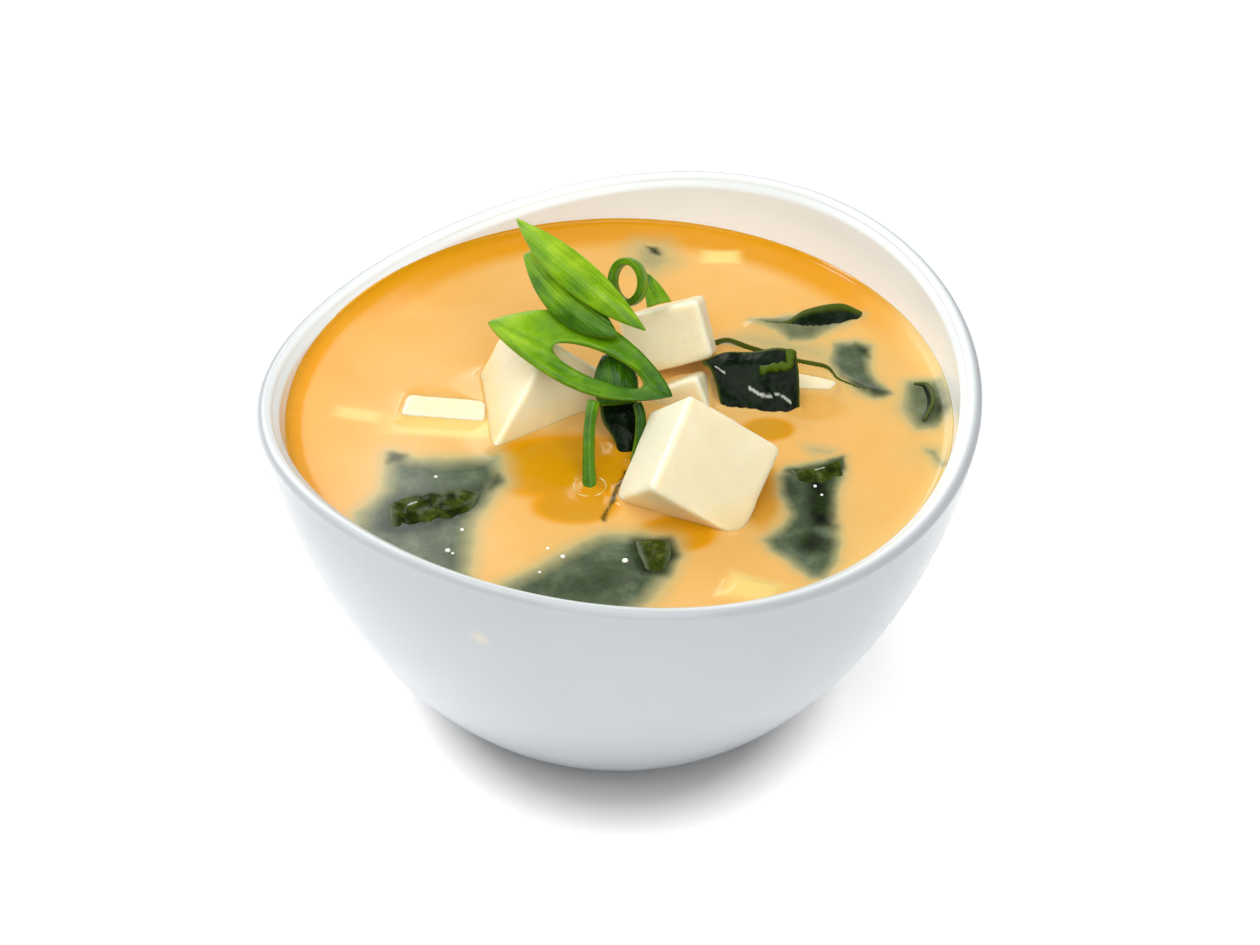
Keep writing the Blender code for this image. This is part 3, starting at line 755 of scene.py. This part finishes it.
def wakame_material(name, light):
    """Wet leaf, nearly black to olive by light; edge, curl and painted glint lines come from the
    mesh.
    """
    material, tree, shader = new_material(name)
    vector = object_vector(tree)
    mottle = noise_texture(vector, 420.0, 4.0, 0.65)
    dark = ramp(mottle, [(0.35, (0.0015, 0.005, 0.0015)), (0.6, (0.004, 0.012, 0.003)),
                               (0.78, (0.010, 0.026, 0.005))])
    olive = ramp(mottle, [(0.38, (0.010, 0.018, 0.001)), (0.56, (0.046, 0.064, 0.004)),
                                (0.74, (0.110, 0.145, 0.020))])
    colour = mix_colour(light, dark, olive)
    rim = (0.085, 0.110, 0.055) if light > 0.1 else (0.060, 0.085, 0.006)
    colour = mix_colour(attribute(tree, "edge"), colour, rim)
    colour = mix_colour(attribute(tree, "curl"), colour, (0.070, 0.120, 0.004))
    # painted highlight: pale glint lines on the wet leaf
    colour = mix_colour(attribute(tree, "painted_glint"), colour, (0.60, 0.64, 0.56))
    rough = value_ramp(mottle, 0.3, 0.7, 0.12, 0.34)
    set_inputs(shader, Base_Color=colour, Roughness=rough, Specular_IOR_Level=0.09)
    bump(shader, noise_texture(vector, 700.0, 3.0, 0.6), 0.45, 0.0003)
    return material


# Lines on a leaf, as places (along, down) from 0 to 1, with a half width in millimetres:
# curls turn up and show olive, and glint lines are painted highlights, pale streaks of wet shine.
LEAF_CURLS = {"wakame_fold": [([(0.93, 0.0), (0.91, 0.08), (0.89, 0.20)], 0.70),
                              ([(0.89, 0.20), (0.86, 0.28), (0.72, 0.31), (0.56, 0.33)], 0.30)]}
PAINTED_GLINT_LINES = {"wakame_fold": [([(0.08, 0.26), (0.14, 0.34), (0.17, 0.36)], 0.10),
                              ([(0.40, 0.47), (0.50, 0.51), (0.62, 0.52)], 0.10),
                              ([(0.66, 0.50), (0.76, 0.52), (0.86, 0.56)], 0.09)],
              "wakame_strip": [([(0.07, 0.34), (0.16, 0.30), (0.27, 0.36)], 0.24)],
              "wakame_side": [([(0.45, 0.16), (0.60, 0.20)], 0.12)],
              "wakame_left": [([(0.25, 0.46), (0.34, 0.44)], 0.10)]}


def line_cover(u, v, span, drop, lines, ragged):
    """1 on the lines, 0 away from them, for places given as shares of a leaf's two sides."""
    cover = np.zeros(u.shape)
    for places, half in lines:
        for (u0, v0), (u1, v1) in zip(places, places[1:]):
            along, down = (u1 - u0) * span, (v1 - v0) * drop
            reach_u, reach_v = (u - u0) * span, (v - v0) * drop
            share = np.clip((reach_u * along + reach_v * down) / (along ** 2 + down ** 2), 0, 1)
            gap = np.hypot(reach_u - share * along, reach_v - share * down) + ragged
            cover = np.maximum(cover, 1.0 - smooth_step(gap, 0.6 * half, 1.5 * half))
    return cover


def make_wakame(name, material):
    """A creased leaf through its net of points."""
    net = WAKAME[name]
    span = sum((Vector(a) - Vector(b)).length for a, b in zip(net[0], net[0][1:]))
    drop = sum((Vector(a[0]) - Vector(b[0])).length for a, b in zip(net, net[1:]))
    columns = max(int(span / WAKAME_GRAIN), 12)
    rows = max(int(drop / WAKAME_GRAIN), 10)
    middle = net_surface(net, rows, columns)
    u = np.linspace(0.0, 1.0, columns)[None, :].repeat(rows, 0)
    v = np.linspace(0.0, 1.0, rows)[:, None].repeat(columns, 1)
    side_gap = np.minimum(u, 1.0 - u) * span
    top_gap = v * drop
    for row in range(rows):
        for column in range(columns):
            place = middle[row, column]
            middle[row, column] += CREASE_WAY * ripple(place, CREASES)
    if name in FLUSH_LEAVES:
        lifted = middle[..., 2] - SOUP_Z
        patches = [ripple(place, FLUSH_PATCHES) for place in middle.reshape(-1, 3)]
        near = FLUSH_SQUASH * lifted + FLUSH_LIFT + np.array(patches).reshape(rows, columns)
        middle[..., 2] = SOUP_Z + np.where(lifted > FLUSH_DEPTH, near, lifted)
    ragged = np.array([rumble(place, 0.9, 13.0) for place in middle.reshape(-1, 3)])
    ragged = ragged.reshape(rows, columns)
    curl = line_cover(u, v, span, drop, LEAF_CURLS.get(name, []), 0.45 * ragged)
    # painted glints: pale highlight lines
    painted_glint = line_cover(u, v, span, drop, PAINTED_GLINT_LINES.get(name, []), 0.08 * ragged)
    middle += CURL_WAY * curl[..., None]
    near_edge = np.minimum(side_gap, top_gap)
    thickness = WAKAME_THICK * (0.35 + 0.65 * smooth_step(near_edge, 0.0, 0.5))
    edge = 1.0 - smooth_step(near_edge, *EDGE_REACH.get(name, (0.15, 0.75)))
    layers = {"edge": edge, "curl": 0.9 * curl, "painted_glint": 0.8 * painted_glint}
    shell_piece(name + "_leaf", middle, thickness, layers, material, (name,))


# ---- spring onion

# shade says how light a piece is at its first end and its last, from 0 dark to 1 lime, partly the
# leaf's own tone and partly painted light and shade; fold is painted shade, how much darker the
# half of a blade is that its ridge turns from the window
ONION_RINGS = {
    "onion_ring": dict(start=(-21.4, 6.5, 65.2), end=(8.4, -8.4, 61.2), facing=(0.1, -0.42, 0.9),
        width=13, wall=3.9, solid=(12, 4.8), cut=1.3, slant=1, arch=0.8, point=0.75, bow=0.8,
        sway=0.5, hole_up=-0.2, shade=(0.85, 0.34)),
    "onion_loop": dict(start=(0.7, 12.5, 64.1), end=(2.1, 14.7, 72.1), facing=(-0.55, -0.76, 0.3),
        width=7, wall=1.2, solid=(1.3, 1.3), cut=2.4, slant=0.2, arch=0, point=0, bow=0, sway=0,
        hole_up=0, shade=(0.42, 0.62)),
}
ONION_BLADES = {
    "onion_long": dict(spine=[(-16.9, 20.4, 76), (-7, 8.6, 73.2), (4.3, 0.2, 68.1)],
        half=(0.1, 3.1, 0.1), thick=0.9, ridge=1.4, ridge_at=-0.1, facing=(0.05, -0.5, 0.86),
        shade=(0.96, 0.80), fold=0.20),
    "onion_behind": dict(spine=[(-15.1, 16.6, 71.8), (-7.8, 6.4, 69), (-0.2, 0.4, 66.8)],
        half=(0.9, 3.4, 0.2), thick=0.9, ridge=0.9, ridge_at=-0.2, facing=(-0.2, -0.6, 0.78),
        shade=(0.84, 0.42), fold=0.14),
    "onion_scrap": dict(spine=[(4.4, 18.9, 66), (5.4, 16.3, 65.2), (6.6, 13.1, 63.8)],
        half=(0.15, 1.3, 2.1), thick=0.8, ridge=0.3, ridge_at=0, facing=(0.1, -0.6, 0.8),
        shade=(0.50, 0.74)),
    "onion_tongue": dict(spine=[(-0.9, 2, 61.7), (-0.6, -1.7, 59.7), (-0.2, -4.5, 56.6)],
        half=(1.8, 3.5, 3), thick=0.9, ridge=1.3, ridge_at=0, facing=(0, -0.78, 0.63),
        shade=(0.16, 0.32)),
    "onion_stem": dict(spine=[(-4.1, -8.6, 60.4), (-4.9, -14.2, 56), (-4.5, -21, 48.6)],
        half=(0.95, 0.9, 1.2), thick=1.2, ridge=0.6, ridge_at=0, facing=(0.1, -0.6, 0.8),
        shade=(0.52, 0.44)),
    "onion_stem_right": dict(spine=[(2.9, -7.8, 59.4), (3.4, -10.6, 55.4), (1.5, -13.8, 49)],
        half=(0.7, 0.85, 0.45), thick=0.9, ridge=0.4, ridge_at=0, facing=(0.3, -0.8, 0.5),
        shade=(0.28, 0.34)),
}
SEE_THROUGH = 0.25  # share of light that a slice lets through
RING_ROUNDING = (0.45, 0.6)  # powers that square off a ring's section, across it and up it
RING_DENT = 0.25  # how deep its cut face is hollowed
RING_TURN_STEPS = 220
RING_SECTION_STEPS = 20
BLADE_ROWS = 110
BLADE_COLUMNS = 36


def onion_material():
    """Waxy leaf with fibres along it; how light it is, edges and fibres come from the mesh."""
    material, tree, shader = new_material("spring onion")
    vector = object_vector(tree)
    mottle = noise_texture(vector, 260.0, 4.0, 0.6)
    fibre = attribute(tree, "fibre")
    level = maths("ADD", maths("MULTIPLY", mottle, 0.55), -0.46)
    level = maths("ADD", level, maths("MULTIPLY", fibre, 0.34))
    # light: the leaf's own tone with painted light and shade
    level = maths("ADD", level, attribute(tree, "light"))
    colour = ramp(level, [(0.0, (0.008, 0.042, 0.0006)), (0.28, (0.036, 0.135, 0.0008)),
                                (0.52, (0.100, 0.280, 0.001)), (0.76, (0.235, 0.480, 0.002)),
                                (1.0, (0.440, 0.690, 0.020))])
    colour = mix_colour(maths("MULTIPLY", attribute(tree, "edge"), 0.40), colour,
                        (0.34, 0.56, 0.03))
    rough = value_ramp(noise_texture(vector, 320.0, 3.0, 0.6), 0.35, 0.65, 0.16, 0.42)
    set_inputs(shader, Base_Color=colour, Roughness=rough, Specular_IOR_Level=0.34)
    bump(shader, maths("ADD", fibre, mottle), 0.80, 0.00025)
    through = add_node(tree, "BsdfTranslucent", Color=colour)
    blend = add_node(tree, "MixShader", Fac=SEE_THROUGH)
    connect(shader.outputs[0], blend.inputs[1])
    connect(through.outputs[0], blend.inputs[2])
    set_inputs(tree.nodes["Material Output"], Surface=blend.outputs[0])
    return material


def onion_light(shade, share, point):
    """How light a piece is at a share of its length, with soft patches; own tone and painted light
    and shade.
    """
    first, last = shade
    return first + (last - first) * share + 0.14 * rumble(point, 4.0, 8.0)


def fibre_at(across, along):
    """Streaks that run the length of a leaf."""
    return 0.5 + 0.5 * rumble((across * 2.4, along * 0.12, 0.0), 1.0, 9.0)


def frame_for(start, end, facing):
    along = (end - start).normalized()
    up = (facing - along * facing.dot(along)).normalized()
    side = up.cross(along)
    turn = Matrix((along, side, up)).transposed().to_4x4()
    return Matrix.Translation((start + end) / 2.0) @ turn


def signed_power(value, power):
    return math.copysign(abs(value) ** power, value)


def make_onion_ring(name, material):
    """A slantwise slice: a closed ring of rounded section, pointed at its ends."""
    spec = ONION_RINGS[name]
    start, end, facing = (Vector(spec[key]) for key in ("start", "end", "facing"))
    place = frame_for(start, end, facing)
    half_length = (end - start).length / 2.0
    half_width = spec["width"] / 2.0
    hole_from = spec["solid"][0] - half_length
    hole_to = half_length - spec["solid"][1]
    hole_middle, hole_half = (hole_from + hole_to) / 2.0, (hole_to - hole_from) / 2.0
    points, edge, fibre, light = [], [], [], []
    for step in range(RING_TURN_STEPS):
        turn = math.tau * step / RING_TURN_STEPS
        across = math.sin(turn) * abs(math.sin(turn)) ** spec["point"]
        outer = Vector((half_length * math.cos(turn), half_width * across))
        outer.y += spec["bow"] * math.sin(turn) ** 2
        outer.y -= spec["sway"] * math.sin(math.pi * math.cos(turn))
        inner = Vector((hole_middle + hole_half * math.cos(turn),
                        (half_width - spec["wall"]) * math.sin(turn) + spec["hole_up"]))
        for part in range(RING_SECTION_STEPS):
            round_turn = math.tau * part / RING_SECTION_STEPS
            share = 0.5 - 0.5 * signed_power(math.cos(round_turn), RING_ROUNDING[0])
            level = 0.5 * signed_power(math.sin(round_turn), RING_ROUNDING[1])
            spot = outer.lerp(inner, share)
            depth = level * spec["cut"]
            rise = spec["arch"] * (1.0 - (spot.x / half_length) ** 2)
            dent = -RING_DENT * math.sin(math.pi * share) if level > 0.0 else 0.0
            local = Vector((spot.x + spec["slant"] * depth, spot.y, rise + depth + dent))
            world = place @ local
            wobble = 0.10 * rumble(world, 2.2, 6.0)
            points.append(world + facing.normalized() * wobble)
            edge.append(1.0 if level < 0.1 else 0.0)
            fibre.append(fibre_at(share * 3.0, half_length * turn))
            light.append(onion_light(spec["shade"], 0.5 + 0.5 * spot.x / half_length, world))
    faces = ring_faces(RING_TURN_STEPS, RING_SECTION_STEPS, closed_rows=True)
    mesh_piece(name + "_leaf", points, faces, material, (name,),
               {"edge": edge, "fibre": fibre, "light": light})


def through_three(first, middle, last, share):
    control = middle * 2.0 - (first + last) / 2.0
    rest = 1.0 - share
    return first * rest ** 2 + control * 2.0 * rest * share + last * share ** 2


def make_onion_blade(name, material):
    """A strip of leaf along a curved spine, folded along its ridge."""
    spec = ONION_BLADES[name]
    spine = [Vector(point) for point in spec["spine"]]
    facing = Vector(spec["facing"]).normalized()
    widest = max(spec["half"])
    middle = np.zeros((BLADE_ROWS, BLADE_COLUMNS, 3))
    thickness = np.zeros((BLADE_ROWS, BLADE_COLUMNS))
    layers = {label: np.zeros((BLADE_ROWS, BLADE_COLUMNS)) for label in ("edge", "fibre", "light")}
    length = (spine[2] - spine[0]).length
    for row in range(BLADE_ROWS):
        share = row / (BLADE_ROWS - 1)
        centre = through_three(*spine, share)
        ahead = through_three(*spine, share + 0.01) - centre
        side = facing.cross(ahead).normalized()
        up = ahead.cross(side).normalized()
        half = through_three(*spec["half"], share)
        fullness = half / widest
        for column in range(BLADE_COLUMNS):
            across = -1.0 + 2.0 * column / (BLADE_COLUMNS - 1)
            off = across - spec["ridge_at"]
            reach = 1.0 - spec["ridge_at"] if off > 0.0 else 1.0 + spec["ridge_at"]
            fold = 1.0 - (abs(off) / reach) ** 1.25
            lift = spec["ridge"] * fullness * fold
            point = centre + side * (half * across) + up * lift
            wobble = 0.12 * fullness * rumble(point, 2.4, 5.0)
            middle[row, column] = point + up * wobble
            gap = min((1.0 - abs(across)) * half, share * length, (1.0 - share) * length)
            full = 1.0 - (1.0 - min(gap / 0.45, 1.0)) ** 2
            thickness[row, column] = spec["thick"] * (0.4 + 0.6 * fullness) * (0.25 + 0.75 * full)
            layers["edge"][row, column] = 1.0 - min(gap / 0.3, 1.0)
            layers["fibre"][row, column] = fibre_at(across * half, share * length)
            # painted shade: the half that the ridge turns from the window is darker by fold
            turned = 1.0 - smooth_step(off, -0.35, 0.15)
            light = onion_light(spec["shade"], share, point) - spec.get("fold", 0.0) * turned
            layers["light"][row, column] = light
    shell_piece(name + "_leaf", middle, thickness, layers, material, (name,))


# ---- small things

# Bubbles on the broth, as (x, y, radius)
BUBBLES = [(-27, -34.9, 0.45), (-24.9, -29.8, 0.35), (-29.6, -16.4, 0.30),
           (-8.8, -36.4, 0.40), (-11.2, -34.4, 0.30), (1, -37.4, 0.50), (-26.2, -35.6, 0.28),
           (31.6, -18.8, 0.30), (32.6, -21, 0.25), (-12.4, -40.2, 0.25)]
FOAM_RING = (-4.7, -18.9, 2.6, 0.15)  # x, y, radius and thickness
FOAM_LIFT = 0.12
FOAM_TURN_STEPS = 120
FOAM_SECTION_STEPS = 10


def bubble_material():
    material, tree, shader = new_material("foam")
    colour = ramp(noise_texture(object_vector(tree), 900.0),
                  [(0.3, (0.75, 0.76, 0.66)), (0.7, (0.95, 0.95, 0.88))])
    set_inputs(shader, Base_Color=colour, Roughness=0.08, IOR=1.33)
    return material


def make_foam_ring():
    """A thin raised ring of broth where the onion stem goes in."""
    cx, cy, radius, thick = FOAM_RING
    section = [math.tau * part / FOAM_SECTION_STEPS for part in range(FOAM_SECTION_STEPS)]
    points = []
    for step in range(FOAM_TURN_STEPS):
        turn = math.tau * step / FOAM_TURN_STEPS
        reach = radius + 0.18 * rumble((math.cos(turn), math.sin(turn), 0.0), 0.8, 12.0)
        for part in section:
            out = reach + thick * math.cos(part)
            points.append((cx + out * math.cos(turn), cy + out * math.sin(turn),
                           SOUP_Z + FOAM_LIFT + 0.7 * thick * math.sin(part)))
    material, tree, shader = new_material("foam film")
    colour = ramp(noise_texture(object_vector(tree), 300.0, 3.0),
                  [(0.40, (0.62, 0.36, 0.04)), (0.62, (0.80, 0.70, 0.42))])
    set_inputs(shader, Base_Color=colour, Roughness=0.15, IOR=1.33)
    faces = ring_faces(FOAM_TURN_STEPS, FOAM_SECTION_STEPS, closed_rows=True)
    mesh_piece("foam_ring", points, faces, material)


def make_bubbles():
    bm = bmesh.new()
    for x, y, radius in BUBBLES:
        place = Matrix.Translation(Vector((x, y, SOUP_Z + 0.1 * radius)) * MM)
        flat = Matrix.Diagonal((1.0, 1.0, 0.6, 1.0))
        bmesh.ops.create_uvsphere(bm, u_segments=20, v_segments=12, radius=radius * MM,
                                  matrix=place @ flat)
    finish_piece("foam_bubbles", mesh_from(bm, "bubbles"), bubble_material())


# ---- stage

# On the floor: shadow (full to, gone at, strength) and glow (starts at, full at, strength)
CONTACT = (28.0, 37.0, 0.50)
GLOW = (29.0, 39.0, 0.36)
SOUP_MIDDLE = (0.0, 0.0, 0.05)  # what the lights aim at, in metres as in LIGHTS
DAYLIGHT = (1.0, 0.99, 0.97)
# Area lights, as (place, size, power, colour)
LIGHTS = {
    "window": ((-0.46, 0.80, 0.62), (0.75, 0.60), 5.0, DAYLIGHT),
    "ceiling": ((0.0, -0.35, 1.12), (1.3, 0.9), 9.5, DAYLIGHT),
    "front": ((0.20, -1.05, 0.74), (1.0, 0.5), 4.0, DAYLIGHT),
    "left side": ((-1.0, 0.10, 0.75), (0.8, 0.8), 3.4, (1.0, 0.99, 0.98)),
    "glints": ((-0.45, 0.50, 1.15), (0.10, 0.10), 1.0, (1.0, 1.0, 1.0)),
}


def make_floor():
    material, tree, shader = new_material("pale floor")
    vector = object_vector(tree)
    colour = ramp(noise_texture(vector, 4.0, 2.0),
                  [(0.3, (0.93, 0.93, 0.93)), (0.7, (0.94, 0.94, 0.94))])
    reach = add_node(tree, "VectorMath", operation="LENGTH",
                     Vector=object_vector(tree, (1.0, 0.75, 1.0))).outputs["Value"]
    contact = value_ramp(reach, CONTACT[0] * MM, CONTACT[1] * MM, CONTACT[2], 0.0)
    colour = mix_colour(contact, colour, (0.45, 0.45, 0.46))
    glow = value_ramp(reach, GLOW[0] * MM, GLOW[1] * MM, 0.0, GLOW[2])
    set_inputs(shader, Base_Color=colour, Roughness=0.9, Specular_IOR_Level=0.0,
               Emission_Color=(1.0, 1.0, 1.0, 1.0), Emission_Strength=glow)
    bm = bmesh.new()
    bmesh.ops.create_grid(bm, x_segments=2, y_segments=2, size=6.0)
    floor = show("floor", mesh_from(bm, "floor"))
    floor.data.materials.append(material)
    floor.location.z = -0.0001


def make_lights():
    for name, (place, size, power, colour) in LIGHTS.items():
        data = bpy.data.lights.new(name, "AREA")
        data.shape = "RECTANGLE"
        data.size, data.size_y = size
        data.energy = power
        data.color = colour
        light = show(name, data)
        light.location = place
        aim = Vector(SOUP_MIDDLE) - Vector(place)
        light.rotation_euler = aim.to_track_quat("-Z", "Y").to_euler()
        light.visible_camera = False
    world = bpy.data.worlds.new("studio")
    bpy.context.scene.world = world
    world.use_nodes = True
    set_inputs(world.node_tree.nodes["Background"], Color=(0.96, 0.98, 1.0, 1.0), Strength=0.28)


def make_camera():
    data = bpy.data.cameras.new("camera")
    data.sensor_width = 36.0
    data.lens = LENS
    camera = show("camera", data)
    ahead = Vector((0.0, math.cos(VIEW_DOWN), -math.sin(VIEW_DOWN)))
    camera.location = (Vector(VIEW_AIM) - ahead * VIEW_DISTANCE) * MM
    camera.rotation_euler = (math.pi / 2.0 - VIEW_DOWN, 0.0, 0.0)
    bpy.context.scene.camera = camera
    bpy.context.scene.view_settings.view_transform = "Standard"


# ---- assembly

def waterline_tree():
    """One tree of the CAD pieces that stand up through the surface, for their menisci."""
    corners, sides = [], []
    for name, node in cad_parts.items():
        if name in ("bowl", "soup", "wakame_edge", *FLUSH_LEAVES):
            continue
        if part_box(name)[0].z > SOUP_Z * MM:
            continue
        first = len(corners)
        corners += [vertex.co.copy() for vertex in node.data.vertices]
        sides += [[first + corner for corner in face.vertices] for face in node.data.polygons]
    return BVHTree.FromPolygons(corners, sides)


def main():
    make_camera()
    make_lights()
    make_floor()
    make_bowl()
    make_soup(waterline_tree())
    tofu, awash = tofu_material("silken tofu", 0.60), tofu_material("tofu awash", 0.12)
    for node in TOFU_NODES:
        make_tofu(node, awash if node in AWASH else tofu)
    standing, flush = wakame_material("wet wakame", 0.0), wakame_material("sunk wakame", 0.80)
    for name in WAKAME:
        make_wakame(name, flush if name in FLUSH_LEAVES else standing)
    onion = onion_material()
    for name in ONION_RINGS:
        make_onion_ring(name, onion)
    for name in ONION_BLADES:
        make_onion_blade(name, onion)
    make_bubbles()
    make_foam_ring()


main()
